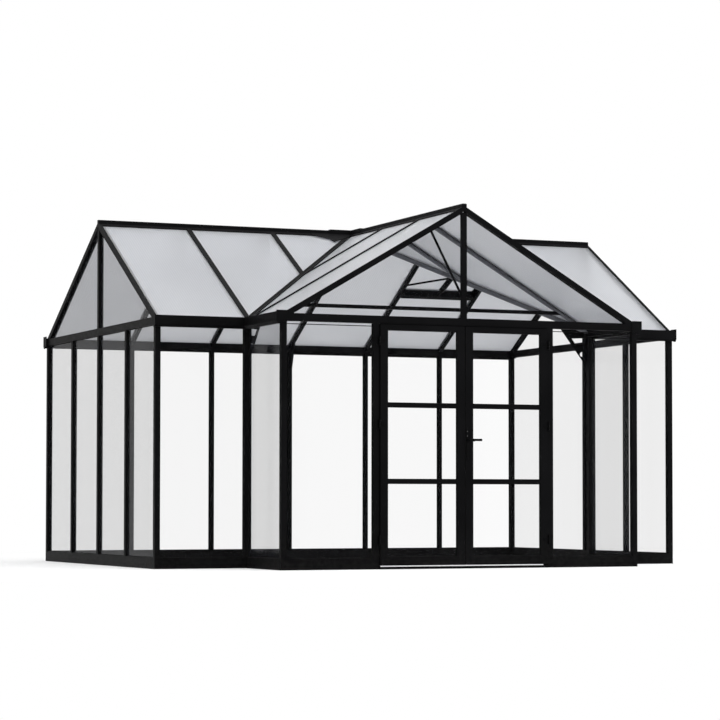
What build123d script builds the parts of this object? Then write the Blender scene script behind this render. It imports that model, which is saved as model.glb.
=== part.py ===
"""T-shaped greenhouse: a gabled main hall with a gabled porch and a glazed double door.

Millimetres, +Z up. The origin is on the ground, at the middle of the greenhouse's box in plan.
X runs along the front, to the right; Y runs from the porch to the back wall.
"""

import os
from math import atan2, cos, sqrt

from build123d import *

# Plan: every bar stands on a grid of equal bays
module = 730
main_bays = 6
span_bays = 4
porch_depth_bays = 1

# Heights over the ground
base_height = 84
base_step = 75
eave_height = 1880
roof_rise = 850

# Beams: how far they reach below the eave height, and how far they stay below the roof sheets
beam_drop = 50
beam_clearance = 1.337

# Vertical bars
base_inset = 3
post_outer = 20
post_inner = 22
inner_post_extra = 21
inner_post_inner = 17
mullion_width = 40
mullion_outer = 17
mullion_inner = 24
foot_width = 30
web_width = 10
king_width = 44
glass = 4
rebate = 8

# Roof bars, measured square to the slope from the middle of the roof sheet
sheet = 6
cap_rise = 8
bar_below = 28
foot_below = 10
cap_width = 40
rake_flange = 25
valley_half = 23
cap_overhang = 30

# Ridges, measured up and down from the line where the slopes meet
ridge_stem_half = 14
ridge_wing_half = 50
ridge_crown_half = 20
ridge_crown_rise = 30
ridge_stem_drop = 29

# Flashing where the ridges cross, measured from the crossing
flashing_sheet = 3
flashing_rise = 8
flashing_reach = 210
skirt_end = 388
skirt_end_down = 56
skirt_waist = 256
skirt_waist_down = 116
skirt_tip = 229
skirt_tip_down = 160
skirt_valley = 75

# Gutters, measured outwards from the wall line, and down and up from the eave height
gutter_reach = 58
gutter_drop = 69
gutter_lip_rise = 18
gutter_wall = 3
gutter_floor_reach = 44
gutter_knee_rise = 21
gutter_end_run = 12
end_cap_sheet = 6
end_cap_border = 4
end_cap_rise = 28

# Door
door_half = 700
jamb_width = 48
jamb_depth = 40
stop_lip = 18
leaf_front = 33
leaf_thickness = 30
leaf_gap = 5
stop_gap = 6
meeting_gap = 7
leaf_bottom = 27
threshold_height = 18
threshold_depth = 60
hinge_stile = 60
meeting_stile = 62.5
bottom_rail = 66
top_rail = 41
door_bar = 29
door_bar_heights = (654, 1224)

# Hinges
low_hinge_height = 214
middle_hinge_height = 1080
top_hinge_drop = 123
knuckle_radius = 6.5
knuckle_height = 22
knuckle_gap = 0.4
pin_radius = 3
pin_clearance = 0.05
hinge_sheet = 3
hinge_wing = 36
hinge_offset = 3
hinge_neck_inner = 2
hinge_neck_outer = 4

# Lever handle
handle_height = 968
handle_setback = 13.5
plate_width = 22
plate_bottom = 826
plate_top = 1060
plate_thickness = 7
lock_height = 856
lock_radius = 8
lock_rise = 4
lever_neck = 40
lever_length = 107
lever_radius = 9
spindle_radius = 8
lever_clearance = 0.3

# Trusses, measured up and down from the eave height
tie_rise = 132
tie_depth = 28
knee_drop = 280
knee_toe = 8
knee_sheet = 5
knee_flat = 20
knee_band = 38
knee_border = 10
knee_reach_back = 137
knee_reach_valley = 268
knee_window_drop = 112
knee_hole_drop = 190
knee_hole_radius = 19

# Roof vents in the back slope
vent_frame_width = 34
vent_frame_rise = 16
vent_lap = 14
vent_panel_seat = 5
vent_head_gap = 4
vent_foot = 745
vent_sill = 40
stay_width = 16
stay_depth = 10
stay_length = 300

# Fits, and how far a cut runs past the face it opens
seat = 0.3
over = 1

# Places worked out from the sizes above
pitch = atan2(roof_rise, span_bays * module / 2)
half_span = span_bays * module / 2
half_main = main_bays * module / 2
porch_depth = porch_depth_bays * module
inner_post_outer = post_outer + inner_post_extra
lever_front = leaf_front + plate_thickness + lever_neck + lever_radius
back_reach = gutter_reach + end_cap_border
wing_y = (porch_depth + lever_front - 2 * half_span - back_reach) / 2
porch_y = wing_y - porch_depth
ridge_y = wing_y + half_span
back_y = wing_y + 2 * half_span
leaf_y = porch_y - leaf_front
ridge_line = eave_height + roof_rise
ridge_crown_top = ridge_line + ridge_crown_rise
ridge_stem_bottom = ridge_line - ridge_stem_drop
beam_bottom = eave_height - beam_drop
gutter_bottom = eave_height - gutter_drop
gutter_lip = eave_height + gutter_lip_rise
far = 4 * half_main


# Planes and outlines

def upright(x, y, inward_x, inward_y):
    """Vertical plane through a wall line: local x runs into the building, local y is height."""
    return Plane(origin=(x, y, 0), x_dir=(inward_x, inward_y, 0), z_dir=(inward_y, -inward_x, 0))


def front_slope(x):
    return upright(x, wing_y, 0, 1)


def back_slope(x):
    return upright(x, back_y, 0, -1)


def porch_slope(side, y):
    return upright(side * half_span, y, -side, 0)


def slope_z(inward, offset):
    """Height of the plane that lies offset above the middle of the roof sheet."""
    return eave_height + inward * roof_rise / half_span + offset / cos(pitch)


def band(foot, head, low, high):
    """Corners of a strip of roof seen from its side, with plumb ends."""
    return [
        (foot, slope_z(foot, low)),
        (head, slope_z(head, low)),
        (head, slope_z(head, high)),
        (foot, slope_z(foot, high)),
    ]


def plan_box(x0, x1, y0, y1):
    """A rectangle in plan."""
    return [(x0, y0), (x1, y0), (x1, y1), (x0, y1)]


def valley_region(side, toward, near, end):
    """Plan of a strip beside the valley line: toward is +1 on the main roof, -1 on the porch."""
    root = Vector(side * half_span, wing_y)
    along = Vector(-side, 1) / sqrt(2)
    across = Vector(side, 1) / sqrt(2) * toward
    corners = [
        root + across * near - along * far,
        root + across * near + along * far,
        root + across * end + along * far,
        root + across * end - along * far,
    ]
    return [(corner.X, corner.Y) for corner in corners]


def roof_piece(plane, low, high, *plans):
    """The slab of roof between two offsets, cut plumb to every outline in plan."""
    with BuildPart() as piece:
        with BuildSketch(plane):
            Polygon(*band(-far, far, low, high), align=None)
        extrude(amount=far, both=True)
        for plan in plans:
            with BuildSketch():
                Polygon(*plan, align=None)
            extrude(amount=far, mode=Mode.INTERSECT)
    return piece.part


def prism(plane, outline, half_width):
    """An outline drawn on an upright plane, given a width to both sides of it."""
    with BuildPart() as piece:
        with BuildSketch(plane):
            Polygon(*outline, align=None)
        extrude(amount=half_width, both=True)
    return piece.part


def block(x0, x1, y0, y1, z0, z1):
    """A rectangular bar between two corners."""
    with BuildPart() as piece:
        with BuildSketch(Plane.XY.offset(z0)):
            Polygon(*plan_box(x0, x1, y0, y1), align=None)
        extrude(amount=z1 - z0)
    return piece.part


def node(name, pieces):
    """One named node, made of solids that stand apart, and written to its file."""
    with BuildPart() as group:
        add(pieces)
    group.part.label = name
    export_step(group.part, f"parts/{name}.step")
    return group.part


os.makedirs("parts", exist_ok=True)

bar_top = sheet / 2 + cap_rise
bar_bottom = -sheet / 2 - bar_below
beam_top = slope_z(post_inner, -sheet / 2) - beam_clearance
slot_half = glass / 2 + seat
sides = (-1, 1)


# Base rails: a lip along the top, with a groove in it that the glass stands in

def rail(x0, x1, y0, y1):
    along_x = x1 - x0 > y1 - y0
    middle = ((x0 + x1) / 2, (y0 + y1) / 2)
    lip_width = 2 * (rail_half - base_inset)
    with BuildPart() as piece:
        with BuildSketch():
            Polygon(*plan_box(x0, x1, y0, y1), align=None)
        extrude(amount=base_step)
        with BuildSketch():
            with Locations(middle):
                Rectangle(x1 - x0 if along_x else lip_width, lip_width if along_x else y1 - y0)
        extrude(amount=base_height)
        with BuildSketch(Plane.XY.offset(base_height - rebate)):
            with Locations(middle):
                Rectangle(x1 - x0 if along_x else 2 * slot_half, 2 * slot_half if along_x else y1 - y0)
        extrude(amount=rebate, mode=Mode.SUBTRACT)
    return piece.part


rail_half = post_outer
back_rail = rail(post_inner - half_main, half_main - post_inner, back_y - rail_half, back_y + rail_half)
side_rails = [
    rail(side * half_main - rail_half, side * half_main + rail_half, wing_y + post_inner, back_y - post_inner)
    for side in sides
]
wing_rails = []
porch_side_rails = []
porch_front_rails = []
for side in sides:
    wing_ends = sorted((side * (half_span + inner_post_outer), side * (half_main - post_inner)))
    wing_rails.append(rail(*wing_ends, wing_y - rail_half, wing_y + rail_half))
    line = side * half_span
    porch_run = (porch_y + post_inner, wing_y - post_outer)
    porch_side_rails.append(rail(line - rail_half, line + rail_half, *porch_run))
    front_ends = sorted((side * (door_half + jamb_width), side * (half_span - post_inner)))
    porch_front_rails.append(rail(*front_ends, porch_y - rail_half, porch_y + rail_half))
base_rails_main = node("base_rails_main", [back_rail] + side_rails)
base_rails_porch = node("base_rails_porch", wing_rails + porch_side_rails + porch_front_rails)


# Posts, each grooved where a pane enters it

def post(x0, x1, y0, y1, grooves):
    """A square post; each groove is (x, y, direction), a slot cut in from that face."""
    with BuildPart() as piece:
        with BuildSketch():
            Polygon(*plan_box(x0, x1, y0, y1), align=None)
            for x, y, along_x in grooves:
                with Locations((x, y)):
                    across = 2 * rebate, 2 * slot_half
                    Rectangle(*(across if along_x else across[::-1]), mode=Mode.SUBTRACT)
        extrude(amount=beam_bottom)
    return piece.part


corner_posts = []
for side in sides:
    outer_x = side * (half_main + post_outer)
    inner_x = side * (half_main - post_inner)
    for line, inward in ((wing_y, 1), (back_y, -1)):
        face_y = line + inward * post_inner
        spots = ((inner_x, line, True), (side * half_main, face_y, False))
        spread = sorted((outer_x, inner_x)) + sorted((line - inward * post_outer, face_y))
        corner_posts.append(post(*spread, spots))
    outer_x = side * (half_span + post_outer)
    inner_x = side * (half_span - post_inner)
    spots = ((inner_x, porch_y, True), (side * half_span, porch_y + post_inner, False))
    spread = sorted((outer_x, inner_x)) + [porch_y - post_outer, porch_y + post_inner]
    corner_posts.append(post(*spread, spots))
node("corner_posts", corner_posts)

inner_posts = []
for side in sides:
    outer_x = side * (half_span + inner_post_outer)
    inner_x = side * (half_span - inner_post_inner)
    spots = ((outer_x, wing_y, True), (side * half_span, wing_y - post_outer, False))
    spread = sorted((outer_x, inner_x)) + [wing_y - post_outer, wing_y + post_inner]
    inner_posts.append(post(*spread, spots))
node("inner_posts", inner_posts)


# Mullions: an outer flange over the glass edges, a web between them and an inner foot

def mullion(plane, width, outline_top):
    """A wall bar on an upright plane of its wall: outline_top gives its head over a half-width."""
    layers = (
        (slot_half, mullion_outer, width / 2),
        (-slot_half, slot_half, web_width / 2),
        (-mullion_inner, -slot_half, foot_width / 2),
    )
    with BuildPart() as piece:
        for low, high, half in layers:
            with BuildSketch(plane.offset(low)):
                Polygon(*outline_top(half), align=None)
            extrude(amount=high - low)
    return piece.part


def wall_plane(x, y, out_x, out_y):
    """Upright plane of a wall: local x runs along it, local y is height, its normal points out."""
    return Plane(origin=(x, y, 0), x_dir=(-out_y, out_x, 0), z_dir=(out_x, out_y, 0))


def square_head(half):
    return [(-half, base_height), (half, base_height), (half, beam_bottom), (-half, beam_bottom)]


def gabled_head(half):
    """The head of a king post, cut to the undersides of the two rakes with a seat."""
    shoulder = slope_z(half_span - half, bar_bottom) - seat
    crest = slope_z(half_span, bar_bottom) - seat
    return [(-half, beam_top), (half, beam_top), (half, shoulder), (0, crest), (-half, shoulder)]


back_lines = [module * step for step in range(1 - main_bays // 2, main_bays // 2)]
side_lines = [wing_y + module * step for step in range(1, span_bays)]
node("mullions_back", [mullion(wall_plane(x, back_y, 0, 1), mullion_width, square_head) for x in back_lines])
side_spots = [(side, y) for side in sides for y in side_lines]
node(
    "mullions_sides",
    [mullion(wall_plane(side * half_main, y, side, 0), mullion_width, square_head) for side, y in side_spots],
)
node(
    "king_posts",
    [
        mullion(wall_plane(-half_main, ridge_y, -1, 0), king_width, gabled_head),
        mullion(wall_plane(half_main, ridge_y, 1, 0), king_width, gabled_head),
        mullion(wall_plane(0, porch_y, 0, -1), king_width, gabled_head),
    ],
)


# Eave gutters: one section holds the wall head, the seat of the roof sheets and the trough

def gutter(plane, length):
    """An eave gutter drawn on an upright plane at the middle of its length."""
    trough_back = post_outer + gutter_wall
    knee = gutter_bottom + gutter_knee_rise
    with BuildPart() as piece:
        with BuildSketch(plane):
            with BuildLine():
                Polyline(
                    (post_inner, beam_bottom),
                    (-post_outer, beam_bottom),
                    (-post_outer, gutter_bottom),
                    (-gutter_floor_reach, gutter_bottom),
                    (-gutter_reach, knee),
                    (-gutter_reach, gutter_lip),
                    (gutter_wall - gutter_reach, gutter_lip),
                    (gutter_wall - gutter_reach, knee + gutter_wall / 3),
                    (gutter_wall / 2 - gutter_floor_reach, gutter_bottom + gutter_wall),
                    (-trough_back, gutter_bottom + gutter_wall),
                    (-trough_back, slope_z(-trough_back, -sheet / 2)),
                    (post_inner, slope_z(post_inner, -sheet / 2)),
                    close=True,
                )
            make_face()
            with Locations((0, beam_bottom)):
                Rectangle(2 * slot_half, 2 * rebate, mode=Mode.SUBTRACT)
        extrude(amount=length / 2, both=True)
    return piece.part


def grooved(piece, *planes):
    """Cut a short groove up the wall face of a gutter where the pane of another wall ends."""
    with BuildPart() as cut:
        add(piece)
        for plane in planes:
            with BuildSketch(plane):
                groove_x = (post_inner - rebate, post_inner + over)
                groove = plan_box(*groove_x, beam_bottom - over, beam_bottom + rebate)
                Polygon(*groove, align=None)
            extrude(amount=slot_half, both=True, mode=Mode.SUBTRACT)
    return cut.part


def mitred(piece, side, toward):
    """Keep the part of a gutter on one side of the valley's vertical plane."""
    with BuildPart() as cut:
        add(piece)
        with BuildSketch():
            Polygon(*valley_region(side, toward, seat / 2, far), align=None)
        extrude(amount=far, mode=Mode.INTERSECT)
    return cut.part


gutter_end = half_main + post_outer + gutter_end_run
porch_gutter_end = porch_y - post_outer - seat
front_gutters = []
for side in sides:
    wing_length = gutter_end - half_span + 4 * gutter_reach
    wing_middle = side * (gutter_end - wing_length / 2)
    wing_gutter = mitred(gutter(front_slope(wing_middle), wing_length), side, 1)
    front_gutters.append(grooved(wing_gutter, front_slope(side * half_main)))
    porch_length = porch_depth + 4 * gutter_reach
    porch_middle = porch_gutter_end + porch_length / 2
    porch_gutter = mitred(gutter(porch_slope(side, porch_middle), porch_length), side, -1)
    front_gutters.append(grooved(porch_gutter, porch_slope(side, porch_y)))
back_gutter = gutter(back_slope(0), 2 * gutter_end)
node("gutter_back", [grooved(back_gutter, *[back_slope(side * half_main) for side in sides])])
node("gutters_front", front_gutters)


# End caps close each gutter with a plate a little larger than its section

def end_cap(plane):
    """A plate drawn on an upright plane, its thickness along the plane's normal."""
    outer = -gutter_reach - end_cap_border
    floor = gutter_bottom - end_cap_border
    top = eave_height + end_cap_rise
    with BuildPart() as piece:
        with BuildSketch(plane):
            with BuildLine():
                Polyline(
                    (post_inner, floor + 2 * rebate),
                    (-post_outer, floor + 2 * rebate),
                    (-post_outer - end_cap_border, floor),
                    (-gutter_floor_reach - end_cap_border, floor),
                    (outer, floor + gutter_knee_rise),
                    (outer, top),
                    (post_inner, top),
                    close=True,
                )
            make_face()
        extrude(amount=end_cap_sheet)
    return piece.part


end_caps = []
for side in sides:
    cap_start = gutter_end if side > 0 else -gutter_end - end_cap_sheet
    end_caps.append(end_cap(front_slope(cap_start)))
    cap_start = gutter_end + end_cap_sheet if side > 0 else -gutter_end
    end_caps.append(end_cap(back_slope(cap_start)))
    cap_start = porch_gutter_end - end_cap_sheet if side > 0 else porch_gutter_end
    end_caps.append(end_cap(porch_slope(side, cap_start)))
node("gutter_end_caps", end_caps)


# Beams under the gables, grooved above and below for the glass

def grooved_beam(x0, x1, y0, y1):
    along_x = x1 - x0 > y1 - y0
    size_x = x1 - x0 if along_x else 2 * slot_half
    size_y = 2 * slot_half if along_x else y1 - y0
    with BuildPart() as piece:
        with BuildSketch(Plane.XY.offset(beam_bottom)):
            Polygon(*plan_box(x0, x1, y0, y1), align=None)
        extrude(amount=beam_top - beam_bottom)
        for level in (beam_bottom, beam_top - rebate):
            with BuildSketch(Plane.XY.offset(level)):
                with Locations(((x0 + x1) / 2, (y0 + y1) / 2)):
                    Rectangle(size_x, size_y)
            extrude(amount=rebate, mode=Mode.SUBTRACT)
    return piece.part


side_beams = []
for side in sides:
    spread = sorted((side * (half_main - rail_half), side * (half_main + rail_half)))
    side_beams.append(grooved_beam(*spread, wing_y + post_inner, back_y - post_inner))
node("side_beams", side_beams)

leaf_back = leaf_y + leaf_thickness
stop_y = leaf_back + stop_gap
beam_reach = half_span - post_inner
with BuildPart() as porch_beam:
    add(grooved_beam(-beam_reach, beam_reach, porch_y - rail_half, porch_y + rail_half))
    add(block(-door_half, door_half, stop_y, porch_y + rail_half, beam_bottom - stop_lip, beam_bottom + over))
node("porch_front_beam", [porch_beam.part])


# Ridges: a stem under the sheets, wings over them and a raised crown

bar_edge = valley_half + seat
main_side = {side: valley_region(side, 1, bar_edge, far) for side in sides}
porch_side = {side: valley_region(side, -1, bar_edge, far) for side in sides}
wing_edges = (ridge_crown_half, ridge_wing_half)


def ridge_core(plane, length):
    """The stem and crown of a ridge, drawn on an upright plane across its start."""
    right = [
        (ridge_stem_half, ridge_stem_bottom),
        (ridge_stem_half, slope_z(half_span - ridge_stem_half, sheet / 2)),
        (ridge_crown_half, slope_z(half_span - ridge_crown_half, sheet / 2)),
        (ridge_crown_half, ridge_crown_top - ridge_crown_half / 4),
        (ridge_crown_half * 3 / 4, ridge_crown_top),
    ]
    left = [(-x, z) for x, z in reversed(right)]
    with BuildPart() as piece:
        with BuildSketch(plane):
            Polygon(*[(half_span + x, z) for x, z in right + left], align=None)
        extrude(amount=length)
    return piece.part


main_end = half_main + post_outer
with BuildPart() as main_ridge:
    add(ridge_core(front_slope(-main_end), 2 * main_end))
    back_wing = plan_box(-main_end, main_end, *[ridge_y + edge for edge in wing_edges])
    add(roof_piece(back_slope(0), sheet / 2, bar_top, back_wing))
    for side in sides:
        front_wing = plan_box(*sorted((0, side * main_end)), *[ridge_y - edge for edge in wing_edges[::-1]])
        add(roof_piece(front_slope(0), sheet / 2, bar_top, front_wing, main_side[side]))
node("main_ridge", [main_ridge.part])

porch_ridge_front = porch_y - post_outer
porch_ridge_back = ridge_y - ridge_crown_half - seat
with BuildPart() as porch_ridge:
    add(ridge_core(porch_slope(1, porch_ridge_front), porch_ridge_back - porch_ridge_front))
    for side in sides:
        wing = plan_box(*sorted(side * edge for edge in wing_edges), porch_ridge_front, porch_ridge_back)
        add(roof_piece(porch_slope(side, porch_y), sheet / 2, bar_top, wing, porch_side[side]))
node("porch_ridge", [porch_ridge.part])


# Ridge flashing: a folded saddle over the crossing of the ridges, with a skirt down each valley

def saddle_outline(half_width, foot, top):
    """Section of a box that straddles a ridge."""
    return [
        (half_span - half_width, foot),
        (half_span + half_width, foot),
        (half_span + half_width, top),
        (half_span - half_width, top),
    ]


flashing_inner = ridge_crown_half + seat
flashing_outer = flashing_inner + flashing_sheet
flashing_top = ridge_crown_top + flashing_rise
flashing_foot = slope_z(half_span - flashing_inner, bar_top) + seat
skirt_on_hall = [
    (flashing_inner, flashing_inner),
    (skirt_end, flashing_inner),
    (skirt_end, skirt_end_down),
    (skirt_waist, skirt_waist_down),
    (skirt_tip, skirt_tip_down),
    (skirt_valley, skirt_valley),
]
skirt_on_porch = [
    (flashing_inner, flashing_inner),
    (skirt_valley, skirt_valley),
    (flashing_inner, skirt_valley),
]
flashing_runs = (
    (front_slope(-flashing_reach), 2 * flashing_reach),
    (porch_slope(1, ridge_y - flashing_reach), flashing_reach),
)
with BuildPart() as flashing:
    for plane, length in flashing_runs:
        with BuildSketch(plane):
            Polygon(*saddle_outline(flashing_outer, flashing_foot, flashing_top), align=None)
        extrude(amount=length)
    for side in sides:
        for plane, outline in ((front_slope(0), skirt_on_hall), (porch_slope(side, ridge_y), skirt_on_porch)):
            plan = [(side * across, ridge_y - down) for across, down in outline]
            add(roof_piece(plane, bar_top + seat, bar_top + seat + flashing_sheet, plan))
    for plane, length in flashing_runs:
        with BuildSketch(plane.offset(-over)):
            Polygon(*saddle_outline(flashing_inner, beam_top, flashing_top - flashing_sheet), align=None)
        extrude(amount=length + 2 * over, mode=Mode.SUBTRACT)
node("ridge_flashing", [flashing.part])


# Rafters: foot flange, web and the cap that holds the sheets down

stem_head = half_span - ridge_stem_half - seat
cap_head = half_span - ridge_wing_half - seat
stem_foot = post_inner + seat


def rafter(plane, *plans):
    """An I-shaped roof bar from the gutter to the ridge, cut plumb to outlines in plan."""
    foot_top = bar_bottom + foot_below
    with BuildPart() as piece:
        add(prism(plane, band(stem_foot, stem_head, bar_bottom, foot_top), foot_width / 2))
        add(prism(plane, band(stem_foot, stem_head, foot_top, sheet / 2), web_width / 2))
        add(prism(plane, band(-cap_overhang, cap_head, sheet / 2, bar_top), cap_width / 2))
        for plan in plans:
            with BuildSketch():
                Polygon(*plan, align=None)
            extrude(amount=far, mode=Mode.INTERSECT)
    return piece.part


back_rafters = [rafter(back_slope(x)) for x in back_lines]
node("rafters_back", back_rafters)
front_rafters = []
for side in sides:
    for step in range(1, main_bays // 2):
        front_rafters.append(rafter(front_slope(side * (half_main - step * module)), main_side[side]))
    for step in range(1, porch_depth_bays + span_bays // 2):
        front_rafters.append(rafter(porch_slope(side, porch_y + step * module), porch_side[side]))
node("rafters_front", front_rafters)


# Valleys: a strip of each slope, joined along the line where the slopes meet

valleys = []
for side in sides:
    reach_x = sorted((side * (ridge_crown_half + seat), side * (half_span - stem_foot)))
    reach = plan_box(*reach_x, wing_y + stem_foot, ridge_y - ridge_crown_half - seat)
    with BuildPart() as valley:
        for plane, toward in ((front_slope(0), 1), (porch_slope(side, wing_y), -1)):
            add(roof_piece(plane, bar_bottom, bar_top, valley_region(side, toward, 0, valley_half), reach))
    valleys.append(valley.part)
node("valleys", valleys)


# Rakes: the edge bar of each gable, grooved underneath for the gable glass

def rake(plane_at, outward):
    """plane_at(offset) gives the slope's upright plane that far outside the gable's glass."""
    above_beam = [(0, beam_top), (far, beam_top), (far, far), (0, far)]
    with BuildPart() as piece:
        face_plane = plane_at(outward * post_outer / 2)
        add(prism(face_plane, band(stem_foot, stem_head, bar_bottom, sheet / 2), post_outer / 2))
        add(prism(face_plane, band(-cap_overhang, cap_head, sheet / 2, bar_top), post_outer / 2))
        flange_plane = plane_at(-outward * rake_flange / 2)
        add(prism(flange_plane, band(stem_foot, stem_head, bar_bottom, -sheet / 2), rake_flange / 2))
        with BuildSketch(plane_at(0)):
            Polygon(*band(0, stem_head, bar_bottom - over, bar_bottom + rebate), align=None)
        extrude(amount=slot_half, both=True, mode=Mode.SUBTRACT)
        with BuildSketch(plane_at(0)):
            Polygon(*above_beam, align=None)
            Polygon(*band(-cap_overhang, 0, sheet / 2, bar_top), align=None)
        extrude(amount=2 * post_outer, both=True, mode=Mode.INTERSECT)
    return piece.part


side_rakes = []
for side in sides:
    edge = side * half_main
    side_rakes.append(rake(lambda offset: front_slope(edge + offset), side))
    side_rakes.append(rake(lambda offset: back_slope(edge + offset), side))
node("rakes_sides", side_rakes)
node(
    "rakes_front",
    [
        rake(lambda offset: porch_slope(-1, porch_y + offset), -1),
        rake(lambda offset: porch_slope(1, porch_y + offset), -1),
    ],
)


# The porch truss over the open side: a tie between its rafters

def tie_half(z):
    """Half the width of the tie at height z, where it seats under the rafters."""
    inward = (z + seat - slope_z(0, bar_bottom)) * half_span / roof_rise
    return half_span - inward


tie_low = eave_height + tie_rise - tie_depth / 2
tie_high = eave_height + tie_rise + tie_depth / 2
low_half = tie_half(tie_low)
high_half = tie_half(tie_high)
with BuildPart() as tie:
    with BuildSketch(wall_plane(0, wing_y, 0, -1)):
        Polygon(
            (-low_half, tie_low),
            (low_half, tie_low),
            (high_half, tie_high),
            (-high_half, tie_high),
            align=None,
        )
    extrude(amount=tie_depth / 2, both=True)
node("collar_tie", [tie.part])


# Knee plates brace the posts to the bars above them

def knee(plane, start, reach, fall):
    """A pierced plate: start is its post edge, reach its tip, fall the slope above it per mm."""
    def under(distance):
        return slope_z(distance * fall, bar_bottom) - 2 * seat

    shelf = beam_bottom - seat
    foot = eave_height - knee_drop
    window_foot = eave_height - knee_window_drop
    hole_height = eave_height - knee_hole_drop
    top_start = max(start, (post_inner + knee_sheet) / fall)
    tip_height = under(reach)
    toe = start + knee_toe
    lean = (reach - toe) / (tip_height - knee_flat - foot)
    window_left = start + knee_border
    window_right = toe + lean * (window_foot - foot) - knee_band
    window_top = shelf - knee_border
    hole_room = knee_toe + lean * (hole_height - foot)
    with BuildPart() as piece:
        with BuildSketch(plane):
            with BuildLine():
                Polyline(
                    (start, foot),
                    (toe, foot),
                    (reach, tip_height - knee_flat),
                    (reach, tip_height),
                    (top_start, under(top_start)),
                    (top_start, shelf),
                    (start, shelf),
                    close=True,
                )
            make_face()
            if window_right > window_left + knee_band:
                with BuildLine():
                    Polyline(
                        (window_left, window_foot),
                        (window_right, window_foot),
                        (window_right + lean * (window_top - window_foot), window_top),
                        (window_left, window_top),
                        close=True,
                    )
                make_face(mode=Mode.SUBTRACT)
            with Locations((start + hole_room / 2, hole_height)):
                Circle(min(knee_hole_radius, hole_room / 3), mode=Mode.SUBTRACT)
        extrude(amount=knee_sheet / 2, both=True)
    return piece.part


knees = [knee(back_slope(0), mullion_inner + seat, knee_reach_back, 1)]
for side in sides:
    diagonal = upright(side * half_span, wing_y, -side / sqrt(2), 1 / sqrt(2))
    valley_start = inner_post_inner * sqrt(2) + knee_sheet / 2 + seat
    knees.append(knee(diagonal, valley_start, knee_reach_valley, 1 / sqrt(2)))
node("knee_plates", knees)


# Wall glass: each pane stands in the grooves of the rail, bars and beam round it

pane_low = base_height - rebate + seat
pane_high = beam_bottom + rebate - seat
bar_side = web_width / 2 + seat
post_side = post_inner - rebate + seat


def pane(x0, x1, y0, y1):
    """A wall pane between two points of a wall line."""
    half = glass / 2
    if x0 == x1:
        return block(x0 - half, x0 + half, y0, y1, pane_low, pane_high)
    return block(x0, x1, y0 - half, y0 + half, pane_low, pane_high)


def bay_ends(lines, first, last):
    """Clear ends of every bay of a wall that runs from post line to post line."""
    starts = [first + post_side] + [line + bar_side for line in lines]
    ends = [line - bar_side for line in lines] + [last - post_side]
    return zip(starts, ends)


node("glass_back", [pane(x0, x1, back_y, back_y) for x0, x1 in bay_ends(back_lines, -half_main, half_main)])
side_panes = []
front_panes = []
jamb_side = door_half + jamb_width - rebate + seat
for side in sides:
    edge = side * half_main
    side_panes += [pane(edge, edge, y0, y1) for y0, y1 in bay_ends(side_lines, wing_y, back_y)]
    inner_end = half_span + inner_post_outer - rebate + seat
    wing_ends = sorted((side * inner_end, side * (half_main - post_side)))
    front_panes.append(pane(*wing_ends, wing_y, wing_y))
    porch_edge = side * half_span
    porch_run = (porch_y + post_side, wing_y - post_outer + rebate - seat)
    front_panes.append(pane(porch_edge, porch_edge, *porch_run))
    front_ends = sorted((side * jamb_side, side * (half_span - post_side)))
    front_panes.append(pane(*front_ends, porch_y, porch_y))
node("glass_sides", side_panes)
node("glass_front", front_panes)


# Gable glass: two triangles to each gable, either side of its king post

def gable_pane(plane):
    """A triangle between the beam, a rake and the king post, drawn on an upright plane."""
    low = beam_top - rebate + seat
    inner = half_span - bar_side
    top_offset = bar_bottom + rebate - seat
    corner = (low - slope_z(0, top_offset)) * half_span / roof_rise
    outline = [(corner, low), (inner, low), (inner, slope_z(inner, top_offset))]
    return prism(plane, outline, glass / 2)


gable_planes = [slope(side * half_main) for side in sides for slope in (front_slope, back_slope)]
gable_planes += [porch_slope(side, porch_y) for side in sides]
node("glass_gables", [gable_pane(plane) for plane in gable_planes])


# Roof sheets: one to a bay, held under the caps and cut to the valleys

sheet_half = sheet / 2
eave_out = cap_overhang
sheet_head = ridge_y + ridge_stem_half + seat


def roof_sheet(plane, *plans):
    return roof_piece(plane, -sheet_half, sheet_half, *plans)


def bay_span(low, high, low_is_edge, high_is_edge):
    """Clear width of a bay between two bars, or a bar and a rake."""
    start = low + (seat if low_is_edge else bar_side)
    end = high - (seat if high_is_edge else bar_side)
    return start, end


vent_bays = (-half_span, half_span - module)
sill_low = back_y - vent_foot
back_sheets = []
for step in range(main_bays):
    x = -half_main + step * module
    span = bay_span(x, x + module, step == 0, step == main_bays - 1)
    start_y = sill_low + seat if x in vent_bays else sheet_head
    back_sheets.append(roof_sheet(back_slope(0), plan_box(*span, start_y, back_y + eave_out)))
node("roof_sheets_back", back_sheets)

front_sheets = []
porch_sheets = []
for side in sides:
    for step in range(main_bays // 2):
        outer = half_main - step * module
        span = bay_span(outer - module, outer, False, step == 0)
        bay = sorted((side * span[0], side * span[1]))
        plan = plan_box(*bay, wing_y - eave_out, ridge_y - ridge_stem_half - seat)
        front_sheets.append(roof_sheet(front_slope(0), plan, main_side[side]))
    for step in range(porch_depth_bays + span_bays // 2):
        y = porch_y + step * module
        span = bay_span(y, y + module, step == 0, False)
        bay = sorted((side * (ridge_stem_half + seat), side * (half_span + eave_out)))
        plan = plan_box(*bay, *span)
        porch_sheets.append(roof_sheet(porch_slope(side, 0), plan, porch_side[side]))
node("roof_sheets_front", front_sheets)
node("roof_sheets_porch", porch_sheets)


# Roof vents in the back slope: a sill between two rafters, and a frame that laps the caps

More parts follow.
